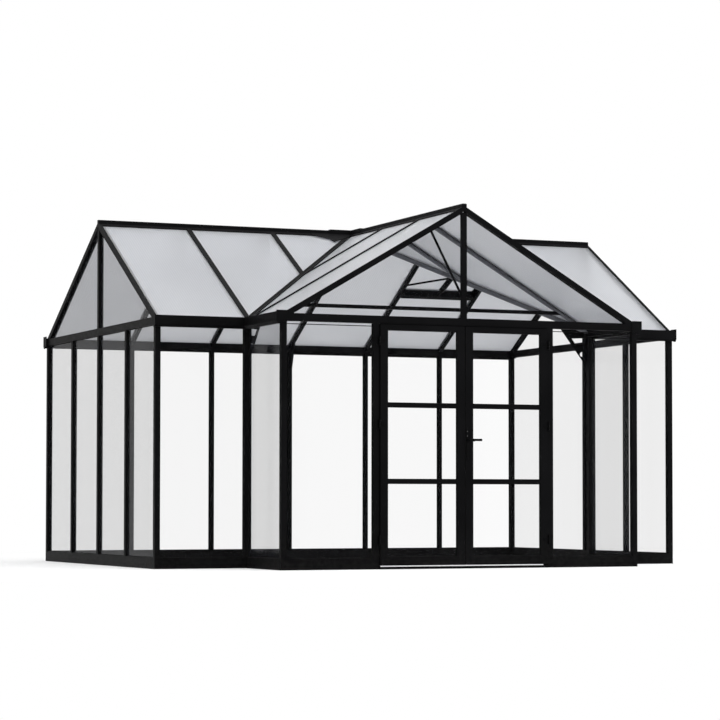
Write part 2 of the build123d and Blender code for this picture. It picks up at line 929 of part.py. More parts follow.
vent_low = bar_top + seat
vent_high = vent_low + vent_frame_rise
vent_top_y = ridge_y + ridge_wing_half + vent_head_gap
vent_frames = []
vent_panels = []
sills = []
stays = []
for x in vent_bays:
    frame_x = (x + cap_width / 2 - vent_lap, x + module - cap_width / 2 + vent_lap)
    frame_y = (vent_top_y, sill_low)
    outer_plan = plan_box(*frame_x, *frame_y)
    inner_x = (frame_x[0] + vent_frame_width, frame_x[1] - vent_frame_width)
    inner_y = (frame_y[0] + vent_frame_width, frame_y[1] - vent_frame_width)
    with BuildPart() as frame:
        add(roof_piece(back_slope(0), vent_low, vent_high, outer_plan))
        hole = roof_piece(back_slope(0), vent_low - over, vent_high + over, plan_box(*inner_x, *inner_y))
        add(hole, mode=Mode.SUBTRACT)
    vent_frames.append(frame.part)
    panel_x = (inner_x[0] + seat, inner_x[1] - seat)
    panel_y = (inner_y[0] + seat, inner_y[1] - seat)
    panel_low = vent_low + vent_panel_seat
    panel_plan = plan_box(*panel_x, *panel_y)
    vent_panels.append(roof_piece(back_slope(0), panel_low, panel_low + sheet, panel_plan))
    sill_x = (x + cap_width / 2 + seat, x + module - cap_width / 2 - seat)
    sill_plan = plan_box(*sill_x, sill_low - vent_sill, sill_low)
    sills.append(roof_piece(back_slope(0), bar_bottom, bar_top, sill_plan))
    stay_top = bar_bottom + stay_depth
    stay_x = x + module / 2
    stay_start = vent_foot + vent_sill + seat
    with BuildPart() as stay:
        run = band(stay_start, stay_start + stay_length, bar_bottom, stay_top)
        add(prism(back_slope(stay_x), run, stay_width / 2))
        stay_end = stay_start + stay_length
        tab = band(stay_end - stay_width, stay_end, bar_bottom, panel_low - seat)
        add(prism(back_slope(stay_x), tab, stay_width / 2))
    stays.append(stay.part)
node("roof_vent_frames", vent_frames)
node("roof_vent_panels", vent_panels)
node("roof_vent_sills", sills)
node("roof_vent_stays", stays)


# Door frame: jambs with a stop lip behind the leaves, and a threshold between them

jambs = []
for side in sides:
    with BuildPart() as jamb:
        with BuildSketch():
            bar_ends = sorted((side * door_half, side * (door_half + jamb_width)))
            Polygon(*plan_box(*bar_ends, porch_y - jamb_depth / 2, porch_y + jamb_depth / 2), align=None)
            lip_ends = sorted((side * (door_half - stop_lip), side * (door_half + over)))
            Polygon(*plan_box(*lip_ends, stop_y, porch_y + jamb_depth / 2), align=None)
            with Locations((side * (door_half + jamb_width), porch_y)):
                Rectangle(2 * rebate, 2 * slot_half, mode=Mode.SUBTRACT)
        extrude(amount=beam_bottom - stop_lip - seat)
        with BuildSketch(Plane.XY.offset(beam_bottom - stop_lip - seat)):
            Polygon(*plan_box(*bar_ends, porch_y - jamb_depth / 2, porch_y + jamb_depth / 2), align=None)
            with Locations((side * (door_half + jamb_width), porch_y)):
                Rectangle(2 * rebate, 2 * slot_half, mode=Mode.SUBTRACT)
        extrude(amount=stop_lip + seat)
    jambs.append(jamb.part)
node("door_jambs", jambs)

threshold_front = porch_y - threshold_depth / 2
threshold_ends = (seat - door_half + stop_lip, door_half - stop_lip - seat)
with BuildPart() as threshold:
    add(block(seat - door_half, door_half - seat, threshold_front, stop_y - seat, 0, threshold_height))
    add(block(*threshold_ends, threshold_front, porch_y + threshold_depth / 2, 0, threshold_height))
node("door_threshold", [threshold.part])


# Door leaves: two grooved stiles, four rails and three panes each

leaf_top = beam_bottom - leaf_gap
leaf_edge = door_half - leaf_gap
leaf_middle = leaf_y + leaf_thickness / 2
hinge_line = door_half + hinge_offset
hinge_y = leaf_y - knuckle_radius
lever_x = meeting_gap / 2 + handle_setback


def stile(x0, x1, groove_x):
    with BuildPart() as piece:
        with BuildSketch(Plane.XY.offset(leaf_bottom)):
            Polygon(*plan_box(x0, x1, leaf_y, leaf_back), align=None)
            with Locations((groove_x, leaf_middle)):
                Rectangle(2 * rebate, 2 * slot_half, mode=Mode.SUBTRACT)
        extrude(amount=leaf_top - leaf_bottom)
    return piece.part


def leaf_rail(x0, x1, z0, z1, grooves):
    with BuildPart() as piece:
        add(block(x0, x1, leaf_y, leaf_back, z0, z1))
        for level in grooves:
            with BuildSketch(Plane.XY.offset(level - rebate)):
                with Locations(((x0 + x1) / 2, leaf_middle)):
                    Rectangle(x1 - x0, 2 * slot_half)
            extrude(amount=2 * rebate, mode=Mode.SUBTRACT)
    return piece.part


for side, name in ((-1, "left"), (1, "right")):
    hinge_inner = side * (leaf_edge - hinge_stile)
    meeting_edge = side * meeting_gap / 2
    meeting_inner = meeting_edge + side * meeting_stile
    hinge_bar = stile(*sorted((side * leaf_edge, hinge_inner)), hinge_inner)
    meeting_bar = stile(*sorted((meeting_edge, meeting_inner)), meeting_inner)
    if side > 0:
        with BuildPart() as bored:
            add(meeting_bar)
            with BuildSketch(Plane(origin=(lever_x, leaf_back + over, handle_height), z_dir=(0, -1, 0))):
                Circle(spindle_radius + lever_clearance)
            extrude(amount=leaf_thickness + 2 * over, mode=Mode.SUBTRACT)
        meeting_bar = bored.part
    node(f"door_{name}_stiles", [hinge_bar, meeting_bar])
    rail_ends = sorted((hinge_inner, meeting_inner))
    levels = [(leaf_bottom, leaf_bottom + bottom_rail)]
    levels += [(height - door_bar / 2, height + door_bar / 2) for height in door_bar_heights]
    levels += [(leaf_top - top_rail, leaf_top)]
    rails = []
    for index, (low, high) in enumerate(levels):
        grooves = ([high] if index < len(levels) - 1 else []) + ([low] if index > 0 else [])
        rails.append(leaf_rail(*rail_ends, low, high, grooves))
    node(f"door_{name}_rails", rails)
    pane_ends = (rail_ends[0] - rebate + seat, rail_ends[1] + rebate - seat)
    panes = []
    for (_, low), (high, _) in zip(levels, levels[1:]):
        pane_levels = (low - rebate + seat, high + rebate - seat)
        panes.append(block(*pane_ends, leaf_middle - glass / 2, leaf_middle + glass / 2, *pane_levels))
    node(f"door_{name}_glass", panes)


# Hinges: two knuckles and the pin on the jamb, the knuckle between them on the leaf

def fixed_hinge(side, height):
    axis_x = side * hinge_line
    foot_z = height - 1.5 * knuckle_height
    wing_x = sorted((side * (door_half + hinge_neck_outer), side * (door_half + hinge_wing + hinge_offset)))
    neck_x = sorted((axis_x - side * hinge_neck_inner, axis_x + side * hinge_neck_outer))
    with BuildPart() as piece:
        for level in (foot_z, foot_z + 2 * knuckle_height + knuckle_gap):
            with BuildSketch(Plane.XY.offset(level)):
                with Locations((axis_x, hinge_y)):
                    Circle(knuckle_radius)
                Polygon(*plan_box(*neck_x, hinge_y, porch_y - jamb_depth / 2), align=None)
            extrude(amount=knuckle_height - knuckle_gap)
        with BuildSketch(Plane.XY.offset(foot_z)):
            with Locations((axis_x, hinge_y)):
                Circle(pin_radius)
        extrude(amount=3 * knuckle_height)
        with BuildSketch(Plane.XY.offset(foot_z)):
            wing_y0 = porch_y - jamb_depth / 2 - hinge_sheet
            Polygon(*plan_box(*wing_x, wing_y0, wing_y0 + hinge_sheet), align=None)
        extrude(amount=3 * knuckle_height)
    return piece.part


def leaf_hinge(side, height):
    axis_x = side * hinge_line
    foot_z = height - knuckle_height / 2 + knuckle_gap
    wing_x = sorted((axis_x, side * (leaf_edge - hinge_wing)))
    with BuildPart() as piece:
        with BuildSketch(Plane.XY.offset(foot_z)):
            with Locations((axis_x, hinge_y)):
                Circle(knuckle_radius)
            Polygon(*plan_box(*wing_x, leaf_y - hinge_sheet, leaf_y), align=None)
            with Locations((axis_x, hinge_y)):
                Circle(pin_radius + pin_clearance, mode=Mode.SUBTRACT)
        extrude(amount=knuckle_height - knuckle_gap)
    return piece.part


hinge_heights = (low_hinge_height, middle_hinge_height, leaf_top - top_hinge_drop)
node("hinges_jamb", [fixed_hinge(side, height) for side in sides for height in hinge_heights])
node("hinges_left", [leaf_hinge(-1, height) for height in hinge_heights])
node("hinges_right", [leaf_hinge(1, height) for height in hinge_heights])


# Lever handle: a plate on each face of the leaf, and one spindle with a lever at each end

def handle_plate(face_y, outward):
    """A rounded plate against one face of the leaf, with a cylinder lock under the lever."""
    plate_middle = (plate_bottom + plate_top) / 2
    face = Plane(origin=(lever_x, face_y, plate_middle), x_dir=(-outward, 0, 0), z_dir=(0, outward, 0))
    with BuildPart() as piece:
        with BuildSketch(face):
            RectangleRounded(plate_width, plate_top - plate_bottom, plate_width / 3)
            with Locations((0, handle_height - plate_middle)):
                Circle(spindle_radius + lever_clearance, mode=Mode.SUBTRACT)
        extrude(amount=plate_thickness)
        outer_edges = piece.faces().sort_by(Axis.Y)[0 if outward < 0 else -1].outer_wire().edges()
        chamfer(outer_edges, plate_thickness / 4)
        with BuildSketch(face):
            with Locations((0, lock_height - plate_middle)):
                Circle(lock_radius)
        extrude(amount=plate_thickness + lock_rise)
    return piece.part


node("handle_plates", [handle_plate(leaf_y, -1), handle_plate(leaf_back, 1)])

outer_lever_y = leaf_y - plate_thickness - lever_neck
inner_lever_y = leaf_back + plate_thickness + lever_neck
with BuildPart() as lever:
    with BuildSketch(Plane(origin=(lever_x, inner_lever_y, handle_height), z_dir=(0, -1, 0))):
        Circle(spindle_radius)
    extrude(amount=inner_lever_y - outer_lever_y)
    for level_y in (outer_lever_y, inner_lever_y):
        with BuildSketch(Plane(origin=(lever_x - lever_radius, level_y, handle_height), z_dir=(1, 0, 0))):
            Circle(lever_radius)
        extrude(amount=lever_length)
node("handle_lever", [lever.part])
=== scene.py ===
import math

import bpy
import numpy as np
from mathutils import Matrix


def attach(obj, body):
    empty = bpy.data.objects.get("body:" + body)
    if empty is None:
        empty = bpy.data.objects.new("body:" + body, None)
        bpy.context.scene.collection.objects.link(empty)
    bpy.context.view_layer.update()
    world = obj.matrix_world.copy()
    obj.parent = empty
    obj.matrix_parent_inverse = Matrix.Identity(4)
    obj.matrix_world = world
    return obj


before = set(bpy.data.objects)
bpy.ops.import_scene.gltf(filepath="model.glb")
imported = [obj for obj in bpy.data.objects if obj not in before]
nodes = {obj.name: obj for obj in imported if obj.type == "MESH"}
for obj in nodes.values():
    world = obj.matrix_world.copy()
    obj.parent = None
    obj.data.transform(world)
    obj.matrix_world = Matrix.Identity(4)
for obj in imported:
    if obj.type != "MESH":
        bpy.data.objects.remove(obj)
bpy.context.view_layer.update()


# Black coated bars.
# The frame is metal bar under a satin black coat, taken to be powder coat. It is smooth from a
# step away and has a fine orange peel close up, with a little dust near the ground.

def grown_node(tree, kind, **settings):
    """A shader node of that kind, with its plain properties set."""
    made = tree.nodes.new(kind)
    for name, value in settings.items():
        setattr(made, name, value)
    return made


def noise_at(tree, place, scale, detail=3.0):
    """Noise read at a place, with about scale grains to the metre."""
    noise = grown_node(tree, "ShaderNodeTexNoise")
    noise.inputs["Scale"].default_value = scale
    noise.inputs["Detail"].default_value = detail
    tree.links.new(place, noise.inputs["Vector"])
    return noise.outputs["Fac"]


def stretched(tree, value, low, high, from_low=0.35, from_high=0.65):
    """A value carried in a straight line from one range to another, and held at its ends."""
    spread = grown_node(tree, "ShaderNodeMapRange")
    ends = {"From Min": from_low, "From Max": from_high, "To Min": low, "To Max": high}
    for socket, number in ends.items():
        spread.inputs[socket].default_value = number
    tree.links.new(value, spread.inputs["Value"])
    return spread.outputs["Result"]


def blended(tree, share, first, second):
    """A colour between two colours or colour sockets, by a share from 0 to 1."""
    mix = grown_node(tree, "ShaderNodeMix", data_type="RGBA")
    for socket, colour in (("A", first), ("B", second)):
        if isinstance(colour, tuple):
            mix.inputs[socket].default_value = (*colour, 1)
        else:
            tree.links.new(colour, mix.inputs[socket])
    tree.links.new(share, mix.inputs["Factor"])
    return mix.outputs["Result"]


def worked(tree, operation, first, second=None):
    """One step of arithmetic on sockets or numbers."""
    step = grown_node(tree, "ShaderNodeMath", operation=operation)
    for socket, value in zip(step.inputs, (first, second)):
        if isinstance(value, (int, float)):
            socket.default_value = value
        elif value is not None:
            tree.links.new(value, socket)
    return step.outputs["Value"]


def coordinate(tree, place, axis):
    """One coordinate of a place."""
    apart = grown_node(tree, "ShaderNodeSeparateXYZ")
    tree.links.new(place, apart.inputs["Vector"])
    return apart.outputs[axis]


def plain_surface(name, shine, rough):
    """A material with one Principled shader. Returns it, its tree, its shader and Object coordinates."""
    material = bpy.data.materials.new(name)
    material.use_nodes = True
    tree = material.node_tree
    surface = tree.nodes["Principled BSDF"]
    surface.inputs["Specular IOR Level"].default_value = shine
    surface.inputs["Roughness"].default_value = rough
    place = grown_node(tree, "ShaderNodeTexCoord").outputs["Object"]
    return material, tree, surface, place


def raised(tree, surface, height, distance):
    """A bump of that many metres from a height of 0 to 1."""
    bump = grown_node(tree, "ShaderNodeBump")
    bump.inputs["Distance"].default_value = distance
    tree.links.new(height, bump.inputs["Height"])
    tree.links.new(bump.outputs["Normal"], surface.inputs["Normal"])


def black_coat(name, dark, dusty, dust_height=0.0):
    """Satin black coat: patchy tone and gloss, fine orange peel, and dust up to a height."""
    material, tree, surface, place = plain_surface(name, 0.018, 0.42)
    patches = noise_at(tree, place, 2.2)
    tone = blended(tree, stretched(tree, patches, 0.0, 1.0), dark, tuple(1.5 * part for part in dark))
    if dust_height:
        low_down = stretched(tree, coordinate(tree, place, "Z"), 0.55, 0.0, 0.0, dust_height)
        specks = stretched(tree, noise_at(tree, place, 38.0, 6.0), 0.0, 1.0)
        tone = blended(tree, worked(tree, "MULTIPLY", low_down, specks), tone, dusty)
    tree.links.new(tone, surface.inputs["Base Color"])
    tree.links.new(stretched(tree, noise_at(tree, place, 60.0), 0.38, 0.52), surface.inputs["Roughness"])
    raised(tree, surface, noise_at(tree, place, 700.0, 2.0), 0.00012)
    return material


def finish_node(name, material):
    """Give a built piece its finish."""
    for spot in nodes[name].material_slots:
        spot.material = material


coat_black = (0.0046, 0.0046, 0.0050)
dust_grey = (0.016, 0.0158, 0.0152)
bar_coat = black_coat("satin_black_coat", coat_black, dust_grey)
for bar in (
    "mullions_back", "mullions_sides", "king_posts", "side_beams", "porch_front_beam",
    "main_ridge", "porch_ridge", "ridge_flashing", "rafters_back", "rakes_sides",
    "rakes_front", "roof_vent_frames", "roof_vent_sills", "collar_tie", "knee_plates",
    "gutter_back", "gutters_front", "gutter_end_caps", "roof_vent_stays",
):
    finish_node(bar, bar_coat)


# Front roof bars.
# The same coated bars, on the porch and on the front slope of the hall. In the photograph the
# porch's look mid-grey from inside and black from outside, so their part below the sheet is painted grey:
# painted light on the undersides of bars that are black all over.

def painted_light_below_sheet(name, dark, grey):
    """The black coat with painted light: a lighter grey where a porch bar is below its sheet, in place of
    its lit underside. The sheet's underside is at sheet_crown - roof_pitch * (distance from the ridge that
    it falls from)."""
    material = black_coat(name, dark, dust_grey)
    tree = material.node_tree
    surface = tree.nodes["Principled BSDF"]
    place = grown_node(tree, "ShaderNodeTexCoord").outputs["Object"]
    from_porch_ridge = worked(tree, "ABSOLUTE", coordinate(tree, place, "X"))
    past_ridge = worked(tree, "SUBTRACT", coordinate(tree, place, "Y"), main_ridge_y)
    from_main_ridge = worked(tree, "ABSOLUTE", past_ridge)
    nearest = worked(tree, "MINIMUM", from_porch_ridge, from_main_ridge)
    level = worked(tree, "ADD", coordinate(tree, place, "Z"), worked(tree, "MULTIPLY", nearest, roof_pitch))
    beneath = stretched(tree, worked(tree, "SUBTRACT", level, sheet_crown), 1.0, 0.0, -0.004, -0.002)
    inside_valley = worked(tree, "SUBTRACT", from_porch_ridge, valley_half)
    porch_side = worked(tree, "LESS_THAN", inside_valley, from_main_ridge)
    tone = surface.inputs["Base Color"].links[0].from_socket
    # Painted light: how much of the lighter grey a porch bar below the sheet takes.
    share = worked(tree, "MULTIPLY", beneath, porch_side)
    tree.links.new(blended(tree, share, tone, grey), surface.inputs["Base Color"])
    return material


main_ridge_y = 0.3785
roof_pitch = 0.58225
sheet_crown = 2.7266
valley_half = 0.03
# Painted light: the lighter grey on the undersides of the porch bars below the sheet.
painted_light_grey = (0.135, 0.14, 0.152)
front_roof_coat_painted_light = painted_light_below_sheet("satin_black_coat_front_roof_painted_light", coat_black, painted_light_grey)
for bar in ("rafters_front", "valleys"):
    finish_node(bar, front_roof_coat_painted_light)


# Posts, base rails and door frame.
# These stand on the ground or swing close above it, so the same black coat carries splashed
# dust on its lowest part, in specks that thin out upwards.

splash_height = 0.35
low_coat = black_coat("satin_black_coat_low", coat_black, dust_grey, splash_height)
for bar in ("base_rails_main", "base_rails_porch", "corner_posts", "inner_posts", "door_jambs"):
    finish_node(bar, low_coat)
for side in ("left", "right"):
    finish_node(f"door_{side}_stiles", low_coat)
    finish_node(f"door_{side}_rails", low_coat)


# Door hardware.
# The lever handle, its plates and the hinges have a smoother black coat than the bars, a little
# worn in small patches. They are taken to be castings, screwed to the leaves and the jambs.

def hand_worn(name, dark, bare):
    """Smooth black coat, worn to bare metal in small patches."""
    material, tree, surface, place = plain_surface(name, 0.04, 0.36)
    worn = stretched(tree, noise_at(tree, place, 90.0, 5.0), 0.0, 0.5, 0.58, 0.75)
    tree.links.new(blended(tree, worn, dark, bare), surface.inputs["Base Color"])
    tree.links.new(stretched(tree, noise_at(tree, place, 160.0), 0.24, 0.38), surface.inputs["Roughness"])
    raised(tree, surface, noise_at(tree, place, 500.0, 2.0), 0.00008)
    return material


hardware_coat = hand_worn("hardware_black", (0.0034, 0.0034, 0.0037), (0.014, 0.014, 0.0145))
for piece in ("handle_lever", "handle_plates", "hinges_jamb", "hinges_left", "hinges_right"):
    finish_node(piece, hardware_coat)


# Threshold.
# A low sill on the ground under the leaves, between the two jambs, in the same black coat as the
# base rails. The leaves swing 9 mm above it.

finish_node("door_threshold", low_coat)


# Screws of the hinges and of the handle plate.
# Pan head screws with a round recess. The two bright ones above the lever show in the photograph.
# The hinges' are what such a hinge needs: two in its jamb plate and two in its leaf plate.

def turned(profile, sides):
    """A profile of (radius, height) rows carried round Z: row i at turn a is the point
    (r_i cos a, r_i sin a, h_i). The first and last rows have no radius, and are one point each."""
    rows = np.array(profile, float)
    turn = 2 * np.pi * np.arange(sides) / sides
    ring = np.stack([
        np.outer(rows[1:-1, 0], np.cos(turn)),
        np.outer(rows[1:-1, 0], np.sin(turn)),
        np.repeat(rows[1:-1, 1:2], sides, axis=1),
    ], axis=-1).reshape(-1, 3)
    points = np.vstack([[0, 0, rows[0, 1]], ring, [0, 0, rows[-1, 1]]])
    near = np.arange(sides)
    far = (near + 1) % sides
    start = 1 + sides * np.arange(len(rows) - 3)[:, None]
    walls = np.stack([start + near, start + far, start + sides + far, start + sides + near], axis=-1)
    last = len(points) - 1
    foot = np.stack([0 * near, 1 + far, 1 + near], axis=-1)
    crown = np.stack([0 * near + last, last - sides + near, last - sides + far], axis=-1)
    return points, [walls.reshape(-1, 4), foot, crown]


def placed(shape, spot, along):
    """A shape with its Z turned to a direction w and its origin moved to a spot:
    each point p becomes spot + p_x u + p_y v + p_z w, with u, v and w square to each other."""
    points, faces = shape
    w = np.array(along, float) / np.linalg.norm(along)
    u = np.cross((1.0, 0.0, 0.0) if abs(w[0]) < 0.7 else (0.0, 0.0, 1.0), w)
    u /= np.linalg.norm(u)
    return points @ np.array([u, np.cross(w, u), w]) + spot, faces


def new_piece(name, shapes, body, material, sharp_degrees=35.0):
    """One object from several closed shapes, moving with a body."""
    spots, faces, count = [], [], 0
    for points, blocks in shapes:
        spots.append(points)
        for block in blocks:
            faces += (block + count).tolist()
        count += len(points)
    mesh = bpy.data.meshes.new(name)
    mesh.from_pydata(np.vstack(spots).tolist(), [], faces)
    mesh.shade_smooth()
    mesh.set_sharp_from_angle(angle=math.radians(sharp_degrees))
    mesh.materials.append(material)
    piece = bpy.data.objects.new(name, mesh)
    bpy.context.scene.collection.objects.link(piece)
    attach(piece, body)
    return piece


def screw_head(radius, height):
    """Pan head: a rim, a rounded shoulder and a flat crown with a round recess."""
    rows = [(0, -0.4), (1, -0.4), (1, 0.45), (0.86, 0.85), (0.5, 1), (0.4, 1), (0.3, 0.4), (0, 0.4)]
    return turned([(radius * reach, height * rise) for reach, rise in rows], 12)


def bright_metal(name, tone, rough):
    """Plated metal with a faint cloudiness in its gloss."""
    material, tree, surface, place = plain_surface(name, 0.5, rough)
    surface.inputs["Metallic"].default_value = 1.0
    cloud = noise_at(tree, place, 400.0)
    duller = tuple(0.8 * part for part in tone)
    shade = blended(tree, stretched(tree, cloud, 0.0, 1.0), tone, duller)
    tree.links.new(shade, surface.inputs["Base Color"])
    tree.links.new(stretched(tree, cloud, rough, rough + 0.12), surface.inputs["Roughness"])
    return material


hinge_heights = (0.214, 1.080, 1.702)
jamb_plate_face = -1.8345
jamb_screw_x = 0.727
jamb_screw_rises = (-0.021, 0.021)
leaf_plate_face = -1.8475
leaf_screw_xs = (0.668, 0.686)
outwards = (0.0, -1.0, 0.0)
hinge_screw = screw_head(0.0036, 0.0020)
jamb_heads = []
for side, sign in (("left", -1), ("right", 1)):
    leaf_heads = []
    for height in hinge_heights:
        for rise in jamb_screw_rises:
            spot = (sign * jamb_screw_x, jamb_plate_face, height + rise)
            jamb_heads.append(placed(hinge_screw, spot, outwards))
        for across in leaf_screw_xs:
            leaf_heads.append(placed(hinge_screw, (sign * across, leaf_plate_face, height), outwards))
    leaf_screws = new_piece(f"hinge_screws_{side}", leaf_heads, f"door_{side}", hardware_coat)
new_piece("hinge_screws_jamb", jamb_heads, "root", hardware_coat)

handle_plate_face = -1.8515
handle_screw_x = 0.014
handle_screw_heights = (0.998, 1.032)
handle_screw = screw_head(0.0026, 0.0014)
screw_plating = bright_metal("bright_screw_plating", (0.55, 0.55, 0.56), 0.28)
handle_heads = [
    placed(handle_screw, (handle_screw_x, handle_plate_face, height), outwards)
    for height in handle_screw_heights
]
new_piece("handle_screws", handle_heads, "door_right", screw_plating)


# Roof vent openers.
# A thick round tube and a thin rod hang inside the right-hand roof vent, and are taken to be its
# opener. The tube lies along the slope, and the rod runs from its upper end to the vent's side.

def rod_shape(radius, length, round_off):
    """A round rod along Z with a rounded rim at each end: radius R, and R - round_off at the tips."""
    return turned([
        (0, 0), (radius - round_off, 0), (radius, round_off), (radius, length / 2),
        (radius, length - round_off), (radius - round_off, length), (0, length),
    ], 20)


def rod_between(start, end, radius, round_off):
    """A rod whose axis runs from one point to another."""
    start, end = np.array(start), np.array(end)
    return placed(rod_shape(radius, float(np.linalg.norm(end - start)), round_off), start, end - start)


vent_step = 2.190
tube_radius, tube_rounding = 0.025, 0.005
arm_radius, arm_rounding = 0.0085, 0.0015
foot_radius = 0.0100
for side, shift in (("right", 0.0), ("left", -vent_step)):
    lower = (1.0981 + shift, 1.0028, 2.345)
    upper = (1.1161 + shift, 0.8271, 2.4469)
    arm_end = (0.763 + shift, 0.9745, 2.383)
    foot_end = (arm_end[0] - 0.012, arm_end[1] + 0.004, arm_end[2] + 0.012)
    shapes = [
        rod_between(lower, upper, tube_radius, tube_rounding),
        rod_between(arm_end, upper, arm_radius, arm_rounding),
        rod_between(arm_end, foot_end, foot_radius, arm_rounding),
    ]
    new_piece(f"vent_opener_{side}", shapes, "root", hardware_coat)


# Porch brace.
# A thin round rod in the middle of the porch, from the ridge down to the king post over the
# door. The round hub near each end, that it would be bolted through, doesn't show and is guessed.

brace_high = (0.0, -1.120, 2.703)
brace_low = (0.0, -1.789, 2.054)
brace_radius, brace_rounding = 0.0095, 0.0015
hub_radius, hub_width, hub_inset = 0.015, 0.012, 0.022
brace_run = np.array(brace_low) - np.array(brace_high)
brace_run /= np.linalg.norm(brace_run)
brace_shapes = [rod_between(brace_high, brace_low, brace_radius, brace_rounding)]
for end, way in ((brace_high, 1), (brace_low, -1)):
    middle = np.array(end) + way * hub_inset * brace_run
    hub = rod_shape(hub_radius, hub_width, brace_rounding)
    brace_shapes.append(placed(hub, middle - np.array((hub_width / 2, 0, 0)), (1.0, 0, 0)))
new_piece("porch_brace_rod", brace_shapes, "root", bar_coat)


# Wall panes.
# Clear sheet in the grooves of the bars, nearly invisible face on and greyer where it is seen
# along its face. In the photograph the panes on the left are greyer than the ones on the right, so the
# panes on the left side carry painted shade: a stronger grey veil than the ones on the right.

def clear_sheet(name, tint, face_on, edge_on, right_side_share):
    """Clear sheet: its alpha rises from face_on to edge_on at a glancing angle, less so on the right; the
    stronger veil on the left is painted shade.
    """
    material, tree, surface, place = plain_surface(name, 0.5, 0.05)
    weight = grown_node(tree, "ShaderNodeLayerWeight")
    veil = stretched(tree, weight.outputs["Facing"], face_on, edge_on, 0.1, 0.6)
    # Painted shade: the panes on the left side get a greyer veil than the ones on the right.
    left_side_painted_shade = stretched(tree, coordinate(tree, place, "X"), 1.0, right_side_share, -0.2, 0.2)
    tree.links.new(worked(tree, "MULTIPLY", veil, left_side_painted_shade), surface.inputs["Alpha"])
    smears = noise_at(tree, place, 1.6, 4.0)
    paler = tuple(1.6 * part for part in tint)
    tone = blended(tree, stretched(tree, smears, 0.0, 1.0), tint, paler)
    tree.links.new(tone, surface.inputs["Base Color"])
    tree.links.new(stretched(tree, smears, 0.03, 0.09), surface.inputs["Roughness"])
    return material


clear_pane = clear_sheet("clear_wall_sheet", (0.02, 0.022, 0.027), 0.024, 0.19, 0.45)
for pane in (
    "glass_back", "glass_front", "glass_sides", "glass_gables", "door_left_glass", "door_right_glass",
):
    finish_node(pane, clear_pane)


# Pane seals.
# A black rubber wedge between each pane and its bars, all the way round, on the outer face and on
# the inner face. Its lip lies on the sheet and its back against the bar. Its section is guessed.

def seal_ring(low, high, inner_side, across, face, outward):
    """A wedge profile carried round an opening, mitred at its four corners: profile point (s, h)
    at a corner is (corner moved s towards the middle) in the wall's plane, and face + outward h."""
    steps = np.array([
        (-0.0006, -0.0004), (0.0052, -0.0004), (0.0044, 0.0016), (0.0016, 0.0040), (-0.0006, 0.0042),
    ])
    way = np.array([(1, 1), (-1, 1), (-1, -1), (1, -1)], float)
    corners = np.array([(low[0], low[1]), (high[0], low[1]), (high[0], high[1]), (low[0], high[1])])
    flat = corners[:, None, :] + way[:, None, :] * steps[None, :, :1]
    points = np.zeros((4, len(steps), 3))
    points[..., across] = flat[..., 0]
    points[..., 2] = flat[..., 1]
    points[..., inner_side] = face + outward * steps[None, :, 1]
    spot = np.arange(4)[:, None] * len(steps) + np.arange(len(steps))[None, :]
    after = np.roll(spot, -1, axis=0)
    beside = np.roll(spot, -1, axis=1)
    both = np.roll(after, -1, axis=1)
    turns_out = outward * (1 if inner_side == 0 else -1)
    order = (spot, beside, both, after) if turns_out > 0 else (spot, after, both, beside)
    return points.reshape(-1, 3), [np.stack(order, axis=-1).reshape(-1, 4)]


def wall_seals(openings, inner_side, middle, half_sheet=0.002):
    """Seals on both faces of the panes in one wall. An opening is (left, right, foot, head)."""
    across = 1 - inner_side
    return [
        seal_ring((left, foot), (right, head), inner_side, across, middle + outward * half_sheet, outward)
        for left, right, foot, head in openings
        for outward in (-1, 1)
    ]


def seal_rubber(name):
    """Matt black rubber with a slight bloom."""
    material, tree, surface, place = plain_surface(name, 0.04, 0.7)
    bloom = stretched(tree, noise_at(tree, place, 25.0), 0.0, 1.0)
    tone = blended(tree, bloom, (0.004, 0.004, 0.004), (0.010, 0.010, 0.0102))
    tree.links.new(tone, surface.inputs["Base Color"])
    raised(tree, surface, noise_at(tree, place, 900.0, 2.0), 0.00008)
    return material


black_rubber = seal_rubber("seal_rubber")
sill, eaves, porch_head = 0.084, 1.830, 1.812
back_bays = [
    (-2.168, -1.480), (-1.440, -0.750), (-0.710, -0.020),
    (0.020, 0.710), (0.750, 1.440), (1.480, 2.168),
]
side_bays = [(-1.0595, -0.3715), (-0.3315, 0.3585), (0.3985, 1.0885), (1.1285, 1.8165)]
seals = wall_seals([(*bay, sill, eaves) for bay in back_bays], 1, 1.8385)
for sign in (-1, 1):
    seals += wall_seals([(*bay, sill, eaves) for bay in side_bays], 0, sign * 2.190)
    seals += wall_seals([(-1.7895, -1.1015, sill, eaves)], 0, sign * 1.460)
    seals += wall_seals([(*sorted((sign * 1.501, sign * 2.168)), sill, eaves)], 1, -1.0815)
    seals += wall_seals([(*sorted((sign * 0.748, sign * 1.438)), sill, porch_head)], 1, -1.8115)
new_piece("pane_seals", seals, "root", black_rubber)

leaf_lights = [(0.093, 0.6395), (0.6685, 1.2095), (1.2385, 1.784)]
for side, sign in (("left", -1), ("right", 1)):
    lights = [(*sorted((sign * 0.066, sign * 0.635)), foot, head) for foot, head in leaf_lights]
    new_piece(f"door_{side}_seals", wall_seals(lights, 1, -1.8295), f"door_{side}", black_rubber)


# Roof sheets.
# Twin-wall sheet: two thin skins with ribs between them that run down the slope, so that it
# passes light but only a soft picture of what is behind it.

